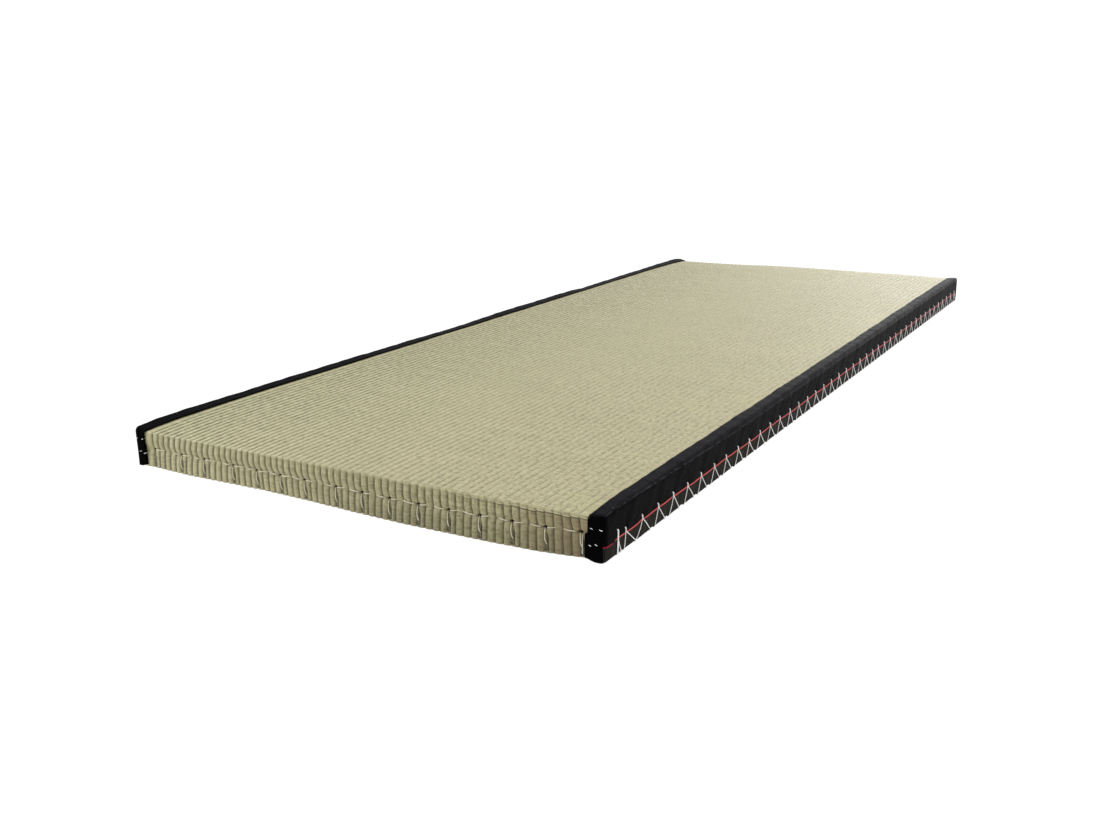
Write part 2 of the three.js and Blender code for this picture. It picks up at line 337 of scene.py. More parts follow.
def give(socket, value):
    """Sets an input: a plain value is stored, an output is linked, None is left alone."""
    if isinstance(value, Output):
        value = value.socket
    if isinstance(value, bpy.types.NodeSocket):
        socket.id_data.links.new(value, socket)
    elif value is not None:
        socket.default_value = (*value, 1) if socket.type == "RGBA" else value


def feed(node, values):
    """Sets inputs of a node by their names."""
    for name, value in values.items():
        give(node.inputs[name], value)


def add(tree, kind, *values, **settings):
    """A new node with these settings, and with its first inputs set."""
    made = tree.nodes.new(kind)
    for key, value in settings.items():
        setattr(made, key, value)
    for socket, value in zip(made.inputs, values):
        give(socket, value)
    return made


def output(tree, kind, *values, **settings):
    """The first output of a new node."""
    return Output(tree, add(tree, kind, *values, **settings).outputs[0])


def noise(x, y, z, detail=2):
    """Noise at a place given by three numbers, about 0.5. The second one is an output."""
    place = output(y.tree, "ShaderNodeCombineXYZ", x, y, z)
    return output(y.tree, "ShaderNodeTexNoise", place, None, 1, detail)


def new_tree(name, inputs):
    """A Geometry Nodes tree with inputs (name, kind of socket, value), those by name, and its last node."""
    tree = bpy.data.node_groups.new(name, "GeometryNodeTree")
    tree.interface.new_socket("Geometry", in_out="INPUT", socket_type="NodeSocketGeometry")
    for label, kind, value in inputs:
        socket = tree.interface.new_socket(label, in_out="INPUT", socket_type="NodeSocket" + kind)
        if value is not None:
            socket.default_value = value
    tree.interface.new_socket("Geometry", in_out="OUTPUT", socket_type="NodeSocketGeometry")
    given = {socket.name: Output(tree, socket) for socket in tree.nodes.new("NodeGroupInput").outputs}
    return tree, given, tree.nodes.new("NodeGroupOutput")


def end_tree(tree, geometry, material, result):
    """Ends a tree with real geometry in one material."""
    real = output(tree, "GeometryNodeRealizeInstances", geometry)
    give(result.inputs[0], output(tree, "GeometryNodeSetMaterial", real, None, material))


def made_by_nodes(source, tree, **inputs):
    """A plain mesh object in place of source, as the tree makes it with these inputs."""
    modifier = source.modifiers.new(tree.name, "NODES")
    modifier.node_group = tree
    for item in tree.interface.items_tree:
        key = item.name.lower().replace(" ", "_")
        if item.in_out == "INPUT" and key in inputs:
            modifier[item.identifier] = inputs[key]
    evaluated = source.evaluated_get(bpy.context.evaluated_depsgraph_get())
    mesh = bpy.data.meshes.new_from_object(evaluated)
    name = source.name
    bpy.data.objects.remove(source)
    mesh.name = name
    made = bpy.data.objects.new(name, mesh)
    bpy.context.scene.collection.objects.link(made)
    return made


def rib_tree():
    """Geometry Nodes: raises half-round ribs by pressing the valleys between them into the surface."""
    tree, given, result = new_tree("rush_ribs", (
        ("Rib Pitch", "Float", rib_pitch),
        ("Rib Start", "Float", -rib_half),
        ("Lump Length", "Float", 22 * MM),
        ("Unevenness", "Float", 0.3),
        ("Seed", "Float", 4),
        ("Rush", "Material", None),
    ))
    across, path, relief = (
        output(tree, "GeometryNodeInputNamedAttribute", name) for name in ("across", "path", "relief"))
    inward = output(tree, "GeometryNodeInputNamedAttribute", "inward", data_type="FLOAT_VECTOR")
    just_over = 1e-4  # keeps a point in the valley on the same side of it
    rib = (across - given["Rib Start"]) / given["Rib Pitch"] + just_over
    from_crest = rib.calc("FRACT") * 2 - 1
    rounded = (1 - from_crest * from_crest).calc("SQRT")
    lumps = noise(rib.calc("FLOOR") * 7.7, path / given["Lump Length"], given["Seed"])
    uneven = (lumps - 0.5) * given["Unevenness"]
    offset = add(tree, "ShaderNodeVectorMath", inward, operation="SCALE")
    feed(offset, {"Scale": (1 - rounded + uneven).calc("MAXIMUM", 0) * relief})
    raised = output(tree, "GeometryNodeSetPosition", given["Geometry"], None, None, offset.outputs[0])
    end_tree(tree, raised, given["Rush"], result)
    return tree


def new_material(name):
    """A material, its node tree and its Principled shader."""
    material = bpy.data.materials.new(name)
    material.use_nodes = True
    return material, material.node_tree, material.node_tree.nodes["Principled BSDF"]


def layered(colour, *layers):
    """A colour with others laid over it in turn, each with its share."""
    for share, other in layers:
        mixed = add(share.tree, "ShaderNodeMix", share, *[None] * 5, colour, other, data_type="RGBA")
        colour = mixed.outputs[2]
    return colour


def uv_parts(tree, name):
    """The two numbers of a UV map."""
    parts = add(tree, "ShaderNodeSeparateXYZ", output(tree, "ShaderNodeUVMap", uv_map=name))
    return [Output(tree, part) for part in parts.outputs[:2]]


def set_bump(shader, height, strength, size):
    """Fine relief on a shader."""
    raised = add(height.tree, "ShaderNodeBump", strength, size)
    feed(raised, {"Height": height})
    feed(shader, {"Normal": raised.outputs[0]})


def rush_material():
    """Dry rush: stems across each rib, green to straw, painted shade in broken valleys and in the seam's
    holes, painted highlights in pale dashes on the crests.
    """
    stem_pitch, block_length = 1.8 * MM, 19 * MM
    straw, green, tan = (0.358, 0.328, 0.170), (0.318, 0.304, 0.148), (0.350, 0.292, 0.155)
    pale, shade, black = (0.485, 0.450, 0.262), (0.070, 0.060, 0.022), (0.004, 0.003, 0.002)
    brown, dry, lime = (0.215, 0.150, 0.068), (0.56, 0.50, 0.32), (0.40, 0.39, 0.16)
    slit_shade = (0.020, 0.016, 0.003)
    material, tree, shader = new_material("woven_rush")
    across, path = uv_parts(tree, "weave")
    hole, slit, face, furrow, past_crease = (
        Output(tree, add(tree, "ShaderNodeAttribute", attribute_name=name).outputs["Fac"])
        for name in ("hole", "slit", "face", "furrow", "past_crease"))

    # The ribs, and the stems that lie across them, half a stem further on in every other rib.
    rib = (across + rib_half) / rib_pitch
    rib_number, in_rib, valley_number = (rib.calc(operation) for operation in ("FLOOR", "FRACT", "ROUND"))
    rib_chance = output(tree, "ShaderNodeTexWhiteNoise", None, rib_number, noise_dimensions="1D")
    from_crest = abs(in_rib * 2 - 1)
    # Painted shade reaches from the valleys up the flanks of the ribs, further on the left.
    toward_valley = from_crest.spread(across.spread(-0.35, 0, 0.2, 0.45), 1)
    crest = from_crest.spread(0.85, 0.35)
    half_step = rib_number.calc("MODULO", 2) * 0.5
    stems = path * (1 / stem_pitch) + half_step + noise(across * 60, path * 90, 0) * 1.6
    in_stem = stems.calc("FRACT") * 2 - 1
    stem_round = 1 - in_stem * in_stem
    stem_number, strip_number = stems.calc("FLOOR"), (across * 7).calc("FLOOR")
    stem_key = output(tree, "ShaderNodeCombineXYZ", stem_number, strip_number, half_step)
    stem_tone = output(tree, "ShaderNodeTexWhiteNoise", stem_key)

    # Its unevenness: stretched along the stems, along the ribs, or in patches.
    streaks = noise(across * 2.5, path * 130, 3)
    clouds = noise(across * 9, path * 7, 8, 3)
    patches = noise(across * 14, path * 11, 21, 3)
    flecks = noise(across * 380, path * 130, 33)
    woven = noise(across * 190, path * 250, 51)
    dashes = noise(rib_number * 7.3, path * 130, 5)
    gaps = noise(valley_number * 5.1, path * 95, 15)
    long_gaps = noise(valley_number * 5.1, path * 52, 27)
    shifted = rib_chance * 9 + noise(rib_number * 3.7, path * 20, 2) * 2
    block_end = (path * (1 / block_length) + shifted).calc("FRACT").spread(0.11, 0)

    # Where it is coarser or older, where painted light lies on the left of the end faces and painted shade
    # low on their right, and how much painted shade lies in the valleys and on the flanks of the ribs.
    coarse = across.spread(-0.05, 0.2)
    low_face = past_crease.spread(-15 * MM, -45 * MM)
    # Painted light: the end faces are paler toward the left, most of all low down.
    lit_end_face = (low_face * 0.35 + 0.35) * face * across.spread(0, -0.32)
    old_face = (rib_chance.spread(0.5, 1) * 0.3 + across.spread(0.25, 0.36)) * face
    # How strong the painted shade in the valleys is: broken on the top, stronger on the left, nearly even on
    # the end faces.
    dark_left = (gaps.spread(0.42, 0.58) * across.spread(-0.35, 0.1, 0.85, 0.55)
                 + across.spread(-0.35, 0.1, 0.38, 0.05))
    dark_right = long_gaps.spread(0.44, 0.6, 0, 0.56)
    dark_top = dark_left.toward(dark_right, across.spread(-0.2, 0.12))
    dark = dark_top.toward(gaps.spread(0.35, 0.6) * 0.2 + 0.7, face)

    # The fold's edge near the right border: a dry stem along it and painted shade in a line under that.
    over_crease = past_crease + rib_chance * (2 * MM) + in_rib * (1 * MM) - 1 * MM
    near_border = noise(rib_number * 0.37, across * 30, 40) * 0.25 + across
    shown = near_border.spread(0.31, 0.42) * from_crest.spread(0.98, 0.85)
    edge_stem = abs(over_crease).spread(0.5 * MM, 0.9 * MM, 1, 0)
    under_stem = abs(over_crease + 1.9 * MM).spread(0.7 * MM, 1.2 * MM, 1, 0)

    colour = layered(
        straw,
        (clouds.spread(0.35, 0.65), green),
        (patches.spread(0.52, 0.72, 0, 0.4), tan),
        (across.spread(-0.25, 0.35, 0, 0.4), tan),
        (across.spread(-0.05, -0.35, 0, 0.5), green),
        (patches.spread(0.5, 0.66) * across.spread(0.2, 0.36, 0, 0.6), lime),
        (streaks.spread(0.45, 0.75, 0, 0.32), pale),
        (stem_tone.spread(0.55, 1, 0, 0.35), pale),
        (stem_tone.spread(0.3, 0, 0, 0.25), tan),
        (flecks.spread(0.52, 0.7, 0, 0.45), pale),
        (flecks.spread(0.48, 0.3, 0, 0.34), shade),
        (woven.spread(0.52, 0.68, 0, 0.5) * coarse, pale),
        (woven.spread(0.48, 0.32, 0, 0.42) * coarse, shade),
        # painted highlights: pale dashes on the crests, stronger on the left
        (dashes.spread(0.5, 0.68) * crest * across.spread(-0.35, 0, 0.85, 0.4), pale),
        (lit_end_face, pale),
        (old_face * 0.65, brown),
        (block_end * (1 - face) * 0.22, shade),
        (stem_tone.spread(0.35, 0.1) * face * 0.22, shade),
        (stem_round.spread(0.35, 0, 0, 0.2), shade),
        # painted shade: the end faces darker low down on the right, toward the floor
        (low_face * across.spread(-0.06, 0.1) * 0.32, shade),
        # painted shade in the valleys and down the flanks of the ribs
        (toward_valley * toward_valley * furrow * dark, shade),
        (edge_stem * shown * 0.85, dry),
        # painted shade in a line under the stem at the fold's edge
        (under_stem * (shown * 0.8 + 0.06), shade),
        # painted shade in the seam's slits, dark olive, and in its holes, near black
        (slit.spread(0.25, 0.75, 0, 0.92), slit_shade),
        (hole.spread(0.2, 0.6, 0, 0.97), black),
    )
    roughness = stem_tone.spread(0, 1, 0.42, 0.58)
    feed(shader, {"Base Color": colour, "Roughness": roughness, "Specular IOR Level": 0.5})
    fibre = noise(across * 160, path * 2600, 1)
    set_bump(shader, stem_round * 0.8 + fibre * 0.25 + dashes * 1.6 - block_end * 0.7, 0.6, 0.5 * MM)
    return material


points, on_points = rush_surface()
floor_rows = underside(points[0])
rush_points = np.concatenate([points, floor_rows])
rush_faces = grid_faces(*rush_points.shape[:2], closed=True)
point_number = np.arange(rush_points[..., 0].size).reshape(rush_points.shape[:2])
rush_faces += [point_number[:, 0].tolist()[::-1], point_number[:, -1].tolist()]
rush_mat = mesh_object("rush_cover", rush_points, [face[::-1] for face in rush_faces])
for name, values in on_points.items():
    on_floor = np.full((len(floor_rows), *values.shape[1:]), -0.1 if name == "past_crease" else 0)
    store(rush_mat.data, name, np.concatenate([values, on_floor]))
weave = np.stack([on_points["across"], on_points["path"]], -1)
store_uv(rush_mat.data, "weave", np.concatenate([weave, floor_rows[..., :2]]))
rush_mat = made_by_nodes(rush_mat, rib_tree(), rush=rush_material())
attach(rush_mat, "root")
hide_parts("rush_mat")


# Border cloths: a strip of black cotton folded over each long edge. It lies as a band on the top and goes
# down the side to a turned-under hem drawn up by the stitches. Its ends are folded in under sewn-down flaps.
CLOTH = 1.6 * MM
BAND_FOLD = 1.15 * MM  # radius of the folded inner edge
OUTER_RADIUS, HEM_RADIUS, END_RADIUS = 7 * MM, 3.5 * MM, 6.5 * MM
HEM_TURN = 9 * MM  # cloth turned under the mat
HEM_HEIGHT = 0.4 * MM
BAND_GAP = 1.5 * MM  # from the first rib to the band
END_DROOP, DROOP_LENGTH = 1.2 * MM, 45 * MM  # how far the band comes down at its ends
MID_HEIGHT, TOP_HEIGHT = 30 * MM, 60 * MM  # what moves the top of a border fades out between these
# A border may stand up along its outer edge. At places along the mat, in mm: how far it does, right and left.
RISE_PLACES = (-990, -960, -600, -350, -140, -10, 340, 400, 500, 960, 990)
EDGE_RISES = {1: (0,) * 11, -1: (0, 2, 2.8, 2, 0.4, 3.4, 3.2, 0.2, 1.4, 3.2, 0)}
RED_LINE = 23.7 * MM
LINE_DIPS = ((1.4 * MM, 0.905, 0.935), (2.2 * MM, 0.9774, 0.9784))  # the red line dips between these lengths
CLOTH_SWELLS = ((0.25 * MM, 0.19), (0.18 * MM, 0.083))  # swing and length of each wave
CLOTH_CREASES = ((0.16 * MM, 0.047), (0.1 * MM, 0.029))
LINE_WAVES = ((0.35 * MM, 0.21), (0.25 * MM, 0.0467))
INNER_EDGE_WAVES = ((0.5 * MM, 0.24), (0.35 * MM, 0.097))
# Right and left: the flap's width, and how far the fold under it reaches in, low down and higher up.
FLAP_WIDTHS = {1: 23.3 * MM, -1: 20.8 * MM}
FOLD_REACHES = {1: (28 * MM, 22.3 * MM), -1: (22.3 * MM, 19.8 * MM)}
LOW_SHARE = 0.62  # of the border's section
FLAP_TUCK_HEIGHTS, FLAP_TUCKS = (22 * MM, 46 * MM), (3.4 * MM, 0.4 * MM)  # its edge's distance to the side
FLAP_PROUD = 1.3 * MM
# Painted shade: the flaps lie at this place, which has no dust either, so they stay darker.
BLACK_PLACE = 0.2  # a place on the cloth without selvage, red line or wear
# Stitches along a side, by their places on the length in mm: left foot, top and right foot.
FIRST_STITCHES = ((-969.6, -967.5, -959), (-951, -946.5, -919), (-919, -900, -877))
STITCH_PITCH, STITCH_COUNT = 46.7, 43
LEFT_FOOT, RIGHT_FOOT, FOOT_SPREAD = -11, 21, 0.9
STITCH_TOP = 30 * MM
HOLE_DENT, HOLE_DENT_REACH, LEG_DENT, LEG_DENT_REACH = 0.9 * MM, 5 * MM, 0.55 * MM, 2 * MM
HEM_LIFT, LIFT_START, LONG_GAP = 4.2 * MM, 4 * MM, 6 * MM  # only a long gap between stitches lifts the hem
half_width, half_length, top_height = cad_high


def side_stitches():
    """Left foot, top and right foot of every stitch along a side: the first three are uneven."""
    random = np.random.default_rng(23)
    rows = list(FIRST_STITCHES)
    for count in range(1, STITCH_COUNT - 2):
        top = FIRST_STITCHES[-1][1] + STITCH_PITCH * count
        left, middle, right = random.normal(0, FOOT_SPREAD, 3)
        rows.append((top + LEFT_FOOT + left, top + middle, top + RIGHT_FOOT + right))
    return np.array(rows) * MM


def arc(centre, radius, start, end, steps):
    """Points on an arc in a section, from one angle to another in degrees."""
    turns = np.radians(np.linspace(start, end, steps + 1))
    return np.stack([centre[0] + radius * np.cos(turns), centre[1] + radius * np.sin(turns)], -1)


def border_section():
    """The cloth's section from its turned-under hem up the side, over the edge and in to its folded edge."""
    hem_x, edge_x = half_width - HEM_RADIUS, half_width - OUTER_RADIUS
    edge_z = top_height - OUTER_RADIUS
    fold_x = rib_half + BAND_GAP + BAND_FOLD
    low = HEM_RADIUS + HEM_HEIGHT
    side_z = np.concatenate([
        np.linspace(low, RED_LINE - 1.5 * MM, 9), RED_LINE + np.array([-0.8, 0, 0.8]) * MM,
        np.linspace(RED_LINE + 1.5 * MM, edge_z, 15)])[1:-1]
    return np.concatenate([
        np.stack([np.linspace(half_width - HEM_TURN, hem_x, 4)[:-1], np.full(3, HEM_HEIGHT)], -1),
        arc((hem_x, low), HEM_RADIUS, -90, 0, 5),
        np.stack([np.full(len(side_z), half_width), side_z], -1),
        arc((edge_x, edge_z), OUTER_RADIUS, 0, 90, 9),
        np.stack([np.linspace(edge_x, fold_x, 9)[1:-1], np.full(7, top_height)], -1),
        arc((fold_x, top_height - BAND_FOLD), BAND_FOLD, 90, 250, 6),
    ])


def outward_of(line):
    """The way out at each point of a section that runs up the side and in over the top."""
    along = np.gradient(line, axis=0)
    along /= np.linalg.norm(along, axis=1)[:, None]
    return np.stack([along[:, 1], -along[:, 0]], -1)


def from_line(y, z, start, end):
    """Distance of points from a straight stretch of thread on the side of the mat."""
    step = np.subtract(end, start)
    share = np.clip(((y - start[0]) * step[0] + (z - start[1]) * step[1]) / (step @ step), 0, 1)
    return np.hypot(y - start[0] - share * step[0], z - start[1] - share * step[1])


def stitch_dents(y, z, stitches):
    """How far the thread presses the side of the cloth in."""
    depth = np.zeros(np.broadcast(y, z).shape)
    for left, top, right in stitches:
        near = (y[:, 0] > left - 20 * MM) & (y[:, 0] < right + 20 * MM)
        places = y[near]
        pull = HOLE_DENT * bump(np.hypot(places - top, z - STITCH_TOP), HOLE_DENT_REACH)
        for foot in (left, right):
            from_leg = from_line(places, z, (foot, 0), (top, STITCH_TOP))
            pull = np.maximum(pull, LEG_DENT * bump(from_leg, LEG_DENT_REACH))
        depth[near] = np.maximum(depth[near], pull)
    return depth


def hem_lift(y, stitches):
    """How far the hem is drawn up: it climbs from a right foot to the next left foot, then drops at once."""
    lift = np.full(y.shape, 0.2 * MM)
    for (_, _, right), (left, _, _) in zip(stitches[:-1], stitches[1:]):
        start = right - LIFT_START
        inside = (y > start) & (y < left)
        if left - right > LONG_GAP:
            lift[inside] += HEM_LIFT * ((y[inside] - start) / (left - start)) ** 1.4
    return lift


def border_rows(stitches):
    """Places along the border where a row of points lies, closer together at the feet of the stitches."""
    end = half_length - END_RADIUS
    shares = np.array([0, 0.03, 0.09, 0.16, 0.24, 0.32, 0.4, 0.48, 0.56, 0.64, 0.72, 0.8, 0.88, 0.94, 0.985])
    feet = np.append(stitches[1:, 0], end)
    inner = [low + shares * (high - low) for low, high in zip(feet[:-1], feet[1:])]
    return np.concatenate([np.linspace(-end, feet[0], 12)[:-1], *inner, [end]])


def folded_end(side, end, rim, cloth, share):
    """A border's end folded in over the end of the mat, from the last row of its strip."""
    low_reach, high_reach = FOLD_REACHES[side]
    edge_x = half_width - np.where(share < LOW_SHARE, low_reach, high_reach)
    edge_z = 3.5 * MM + (top_height - END_RADIUS - 6 * MM) * share
    steps = np.linspace(0, 1, 7)[1:, None]
    sheet = np.repeat(rim[None], len(steps), axis=0)
    sheet[..., 0] += steps * (edge_x - rim[:, 0])
    sheet[..., 2] += steps * (edge_z - rim[:, 2])
    on_cloth = np.where(steps < 0.3, cloth[:, 0], BLACK_PLACE)
    return sheet, np.stack([on_cloth, cloth[:, 1] + end * BAND_WIDTH * steps], -1)


def border_strip(side, stitches, seed):
    """A border's strip, drawn on the right side of the mat, with its ends: points and places on the cloth."""
    random = np.random.default_rng(seed)
    section = border_section()
    outward, u = outward_of(section), lengths_along(section)
    straight = border_rows(stitches)
    turns = np.radians(np.linspace(90, 0, 7)[:-1])
    rounding = END_RADIUS * (1 - np.cos(turns))
    end_y = half_length - END_RADIUS * (1 - np.sin(turns))
    y = np.concatenate([-end_y, straight, end_y[::-1]])[:, None]
    inset = np.concatenate([rounding, np.zeros(len(straight)), rounding[::-1]])[:, None]

    x, z = section.T
    from_middle = np.abs(y)
    on_side = ramp(x, half_width - 2 * MM, half_width) * ramp(z, 58 * MM, 52 * MM)
    on_top = ramp(z, MID_HEIGHT, TOP_HEIGHT)
    out = waves(y + 0.5 * z, CLOTH_SWELLS, random) + waves(y - 0.8 * z, CLOTH_CREASES, random) - inset
    dip = sum(size * ramp(from_middle, start, full) for size, start, full in LINE_DIPS)
    dip = dip + waves(y, LINE_WAVES, random)
    raised_line = 0.3 * MM * bump(z - RED_LINE + dip, 0.9 * MM)
    out = out + on_side * (raised_line - stitch_dents(y, z, stitches))

    points = np.empty((len(y), len(x), 3))
    points[..., 0] = x + outward[:, 0] * out
    points[..., 0] += ramp(x, rib_half + 6 * MM, rib_half) * waves(y, INNER_EDGE_WAVES, random)
    points[..., 1] = y
    points[..., 2] = z + np.maximum(outward[:, 1], 0) * out
    points[..., 2] += ramp(z, 20 * MM, 0) * ramp(x, half_width - HEM_TURN, half_width) * hem_lift(y, stitches)
    points[..., 2] -= END_DROOP * ramp(from_middle, half_length - DROOP_LENGTH, half_length) ** 2 * on_top
    sunk = sag(side * rib_half, half_length - from_middle) * ramp(x, half_width, rib_half)
    points[..., 2] -= sunk * (z > MID_HEIGHT)
    rise = np.interp(y, np.array(RISE_PLACES) * MM, np.array(EDGE_RISES[side]) * MM)
    points[..., 2] += rise * ramp(x, rib_half, half_width - OUTER_RADIUS) * on_top
    points[..., 2] = np.maximum(points[..., 2], 0.2 * MM)
    places = np.stack(np.broadcast_arrays(u + dip * (z < 40 * MM), y), -1)

    share = u / u[-1]
    front, front_cloth = folded_end(side, -1, points[0], places[0], share)
    rear, rear_cloth = folded_end(side, 1, points[-1], places[-1], share)
    places = np.concatenate([front_cloth[::-1], places, rear_cloth])
    return np.concatenate([front[::-1], points, rear]), places


def fall_away(x, radius):
    """How far a rounded edge at the side of the mat falls away."""
    past = np.clip(x - half_width + radius, 0, radius)
    return radius - np.sqrt(radius ** 2 - past ** 2)


def border_flap(side, end):
    """The flap over an end of a border: it leaves the band, rounds the end and goes down to a curved edge."""
    share = np.linspace(0, 1, 14)
    width = FLAP_WIDTHS[side]
    lower_edge = 0.6 * MM + 3 * MM * ramp(share, 0.55, 0) ** 1.5
    shoulder = top_height - END_DROOP - END_RADIUS - sag(side * rib_half, 0) * (1 - share)
    proud = FLAP_PROUD * (1 - 0.75 * ramp(share, 0.8, 1))
    rows, cloth = [], []

    def add_row(y, z, swing, place):
        tuck = np.interp(np.mean(z), FLAP_TUCK_HEIGHTS, FLAP_TUCKS)
        x = half_width - width + (width - tuck) * share
        row_y = end * (y + (proud - fall_away(x, END_RADIUS)) * swing)
        row_z = z - fall_away(x, OUTER_RADIUS) * ramp(z, 0, top_height) ** 4
        rows.append(np.stack([x, row_y, row_z], -1))
        cloth.append(place)

    for turn in np.radians(np.linspace(0, 75, 6)):
        over = END_RADIUS - 0.35 * MM * (1 - math.sin(turn))
        y = half_length - END_RADIUS + over * math.sin(turn)
        add_row(y, shoulder + over * math.cos(turn), math.sin(turn), half_length + END_RADIUS * turn)
    for fall in np.linspace(0, 1, 20):
        place = half_length + 2 * END_RADIUS + shoulder[-1] * fall
        add_row(half_length, shoulder * (1 - fall) + lower_edge * fall, 1, place)
    places = np.stack(np.broadcast_arrays(BLACK_PLACE + 0.02 * share, end * np.array(cloth)[:, None]), -1)
    return np.array(rows), places


def cotton_material():
    """Black cotton with dust on top and painted light there, wear and a painted highlight along its edge,
    painted sheen to the rear, a charcoal selvage and a red line woven in.
    """
    black, dust_and_light, worn_and_lit = (0.0018, 0.0016, 0.0019), (0.0095, 0.0086, 0.0110), (0.045, 0.044, 0.048)
    selvage, selvage_light = (0.0115, 0.0108, 0.0088), (0.033, 0.031, 0.0255)
    red, pink, dull_shaded_red = (0.62, 0.105, 0.095), (0.58, 0.15, 0.18), (0.26, 0.014, 0.035)
    lint, rear_sheen_grey = (0.14, 0.135, 0.13), (0.022, 0.0208, 0.0243)
    thread_pitch = 0.7 * MM
    section = border_section()
    lengths = lengths_along(section)
    rising = slice(0, int(np.argmax(section[:, 1])))
    red_place = float(np.interp(RED_LINE, section[rising, 1], lengths[rising]))
    edge_place = float(lengths[np.argmax(section.sum(axis=1))])
    material, tree, shader = new_material("border_cotton")
    u, v = uv_parts(tree, "cloth")
    place = add(tree, "ShaderNodeTexCoord").outputs["Object"]
    across = output(tree, "ShaderNodeSeparateXYZ", place)

    # Dust on the strip but none on the flaps, which stay darker as painted shade, and less on the left
    # border, also painted shade. Wear along the outer edge, and paler cloth toward the rear.
    clouds = noise(u * 70, v * 28, 2, 4)
    fine = noise(u * 420, v * 420, 6)
    # Painted light: toward the rear, the top's paler dust reaches further down the rounded outer edge.
    past_edge = u - v.spread(-0.97, -0.6, edge_place, edge_place - 5.5 * MM)
    over_edge = past_edge.spread(-2.5 * MM, 1.5 * MM)
    on_top = over_edge * 0.9 + 0.1
    # No dust on the flaps and less on the left border: painted shade.
    outside = u.spread(0.13, 0.12) * across.spread(-0.1, 0.1, 0.3, 1)
    # Wear along the outer edge, partly a painted highlight.
    near_edge = abs(past_edge).spread(0, 1.8 * MM, 1, 0)
    rubbed_and_lit = noise(u * 300, v * 70, 12, 3).spread(0.4, 0.6, 0, 0.8)
    # Painted sheen: the cloth turns paler grey toward the rear, on top and, further back, on the side.
    toward_rear = v.spread(-0.85, 1)
    rear_sheen_rise = toward_rear * toward_rear
    painted_rear_sheen = on_top.calc("MAXIMUM", rear_sheen_rise * 0.5) * rear_sheen_rise

    # The selvage, and the red line over it: paler to the rear, dull in places, darker near the ends as
    # painted shade, and broken near the ends.
    streaks = noise(u * 30, v * 700, 9)
    charcoal = layered(selvage, (streaks.spread(0.4, 0.75), selvage_light))
    toward_end = abs(v)
    uneven = noise(0, v * 60, 44).spread(0.5, 0.75, 0, 0.35)
    # Painted shade: the red line darkens near the ends, and is dull at random along them.
    dull_and_shaded = toward_end.spread(0.966, 0.976).calc("MAXIMUM", uneven)
    whole = abs(toward_end - 0.978).spread(1.2 * MM, 2 * MM)
    line = abs(u - red_place).spread(0.7 * MM, 1.1 * MM, 1, 0) * whole
    line_colour = layered(red, (v.spread(-0.6, 0.8), pink), (dull_and_shaded, dull_shaded_red))
    specks = noise(u * 260, v * 260, 31, 0)

    colour = layered(
        black,
        (clouds.spread(0.35, 0.7, 0.4, 1) * on_top * outside, dust_and_light),
        (fine.spread(0.62, 0.85, 0, 0.4) * outside, dust_and_light),
        (near_edge * rubbed_and_lit, worn_and_lit),
        (painted_rear_sheen * outside, rear_sheen_grey),
        (u.spread(red_place + 0.2 * MM, red_place - 0.8 * MM), charcoal),
        (line, line_colour),
        (specks.spread(0.84, 0.87, 0, 0.5), lint),
    )
    fuzz = (over_edge * v.spread(-0.8, 0.2, 0, 0.14) + 0.06) * outside
    feed(shader, {"Base Color": colour, "Roughness": 0.62, "Specular IOR Level": 0.006,
                  "Sheen Weight": fuzz, "Sheen Roughness": 0.3})
    warp, weft = ((on_cloth * (2 * math.pi / thread_pitch)).calc("SINE") for on_cloth in (v, u))
    set_bump(shader, warp * weft * 0.3 + fine * 0.8, 0.5, 0.25 * MM)
    return material


def border_cloth(name, node, side, seed):
    """A border cloth on one side of the mat, thickened to the inside."""
    points, places, faces, count = [], [], [], 0
    for sheet, cloth in (border_strip(side, stitches, seed), border_flap(side, -1), border_flap(side, 1)):
        quads = np.array(grid_faces(*sheet.shape[:2])) + count
        heading = np.cross(sheet[-4, 5] - sheet[-5, 5], sheet[-4, 6] - sheet[-4, 5])
        outside = sheet[-4, 5] - np.array([half_width - 0.1, 0, 0])
        faces += quads[:, ::-1].tolist() if (heading @ outside < 0) != (side < 0) else quads.tolist()
        points.append(sheet.reshape(-1, 3) * (side, 1, 1))
        places.append(cloth.reshape(-1, 2))
        count += len(points[-1])
    made = mesh_object(name, np.concatenate(points), faces)
    store_uv(made.data, "cloth", np.concatenate(places))
    made.data.materials.append(cotton)
    thick = made.modifiers.new("cloth", "SOLIDIFY")
    thick.thickness, thick.offset = CLOTH, -1
    mesh = bpy.data.meshes.new_from_object(made.evaluated_get(bpy.context.evaluated_depsgraph_get()))
    made.modifiers.clear()
    made.data = mesh
    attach(made, "root")
    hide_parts(node)


stitches = side_stitches()
cotton = cotton_material()
border_cloth("border_cotton_right", "border_cloth_right", 1, 31)
border_cloth("border_cotton_left", "border_cloth_left", -1, 47)


# Side stitches: white cotton thread sewn over the hem in a zigzag that holds each border down, two legs to a
# stitch. Both legs come out of one hole above the red line, and each goes under the hem.
SIDE_THREAD = 1.5 * MM
LEGS_APART = 0.75 * MM
FIRST_PEAK, SECOND_STRAND_PEAK, SHORT_LEG = 4 * MM, 3.5 * MM, 9 * MM  # of the first stitch
FIRST_BENDS, BEND, BEND_SPREAD = (0.2, 0.6, 3.2), 1.1, 0.5  # how far the left legs bow, in mm
PEAK_SPREAD, RIGHT_SPREAD = 0.6 * MM, 0.5 * MM


